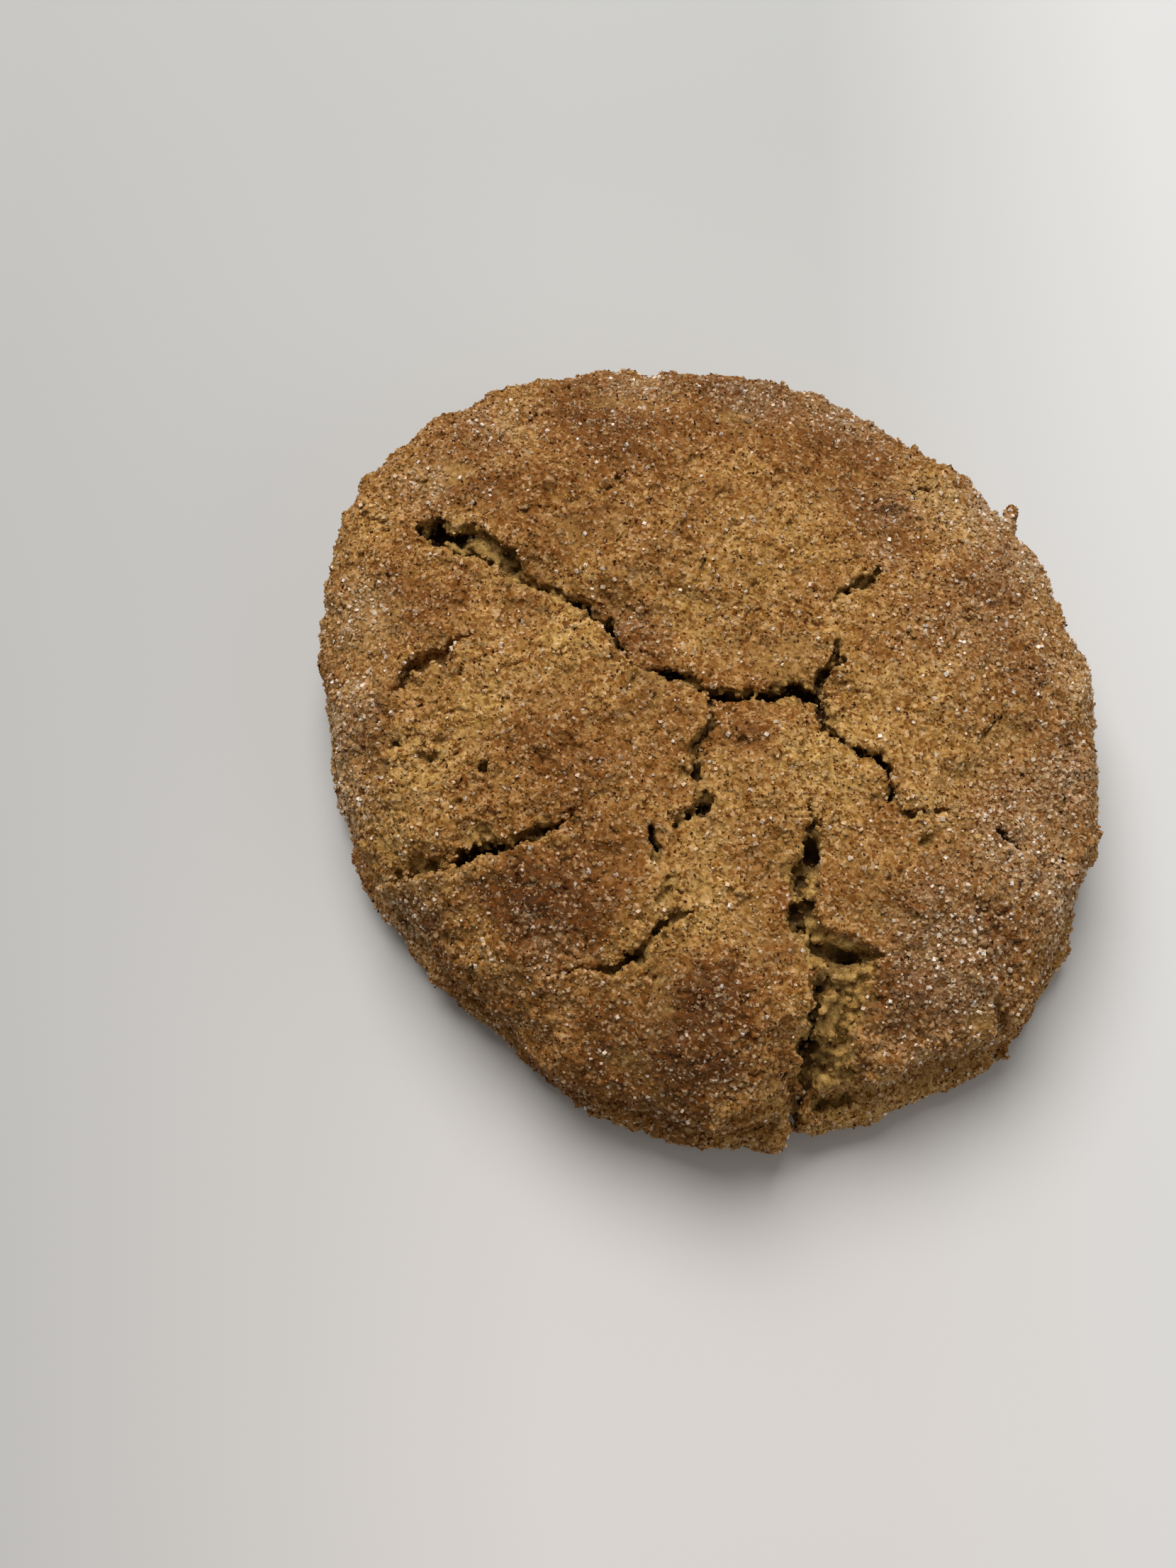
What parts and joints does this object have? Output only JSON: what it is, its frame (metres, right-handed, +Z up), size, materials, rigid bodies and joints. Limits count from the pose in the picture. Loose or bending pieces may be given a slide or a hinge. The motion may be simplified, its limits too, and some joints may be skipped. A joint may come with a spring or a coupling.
{
  "type": "pumpkin spice cookie",
  "caption": "Large round soft-baked spice cookie rolled in cinnamon sugar, domed, with jagged splits across its top and a layered side wall.",
  "frame": {"origin": "centre of the outline's box, on the flat underside that rests on the table", "axes": "+Z up out of the cracked top, and the widest split runs out to the rim on the -Y side"},
  "size_m": [0.1014, 0.1058, 0.0281],
  "materials": {
    "crust": "matte baked crust dusted with cinnamon and sugar"
  },
  "bodies": {
    "root": {"cookie": "crust"}
  },
  "joints": []
}
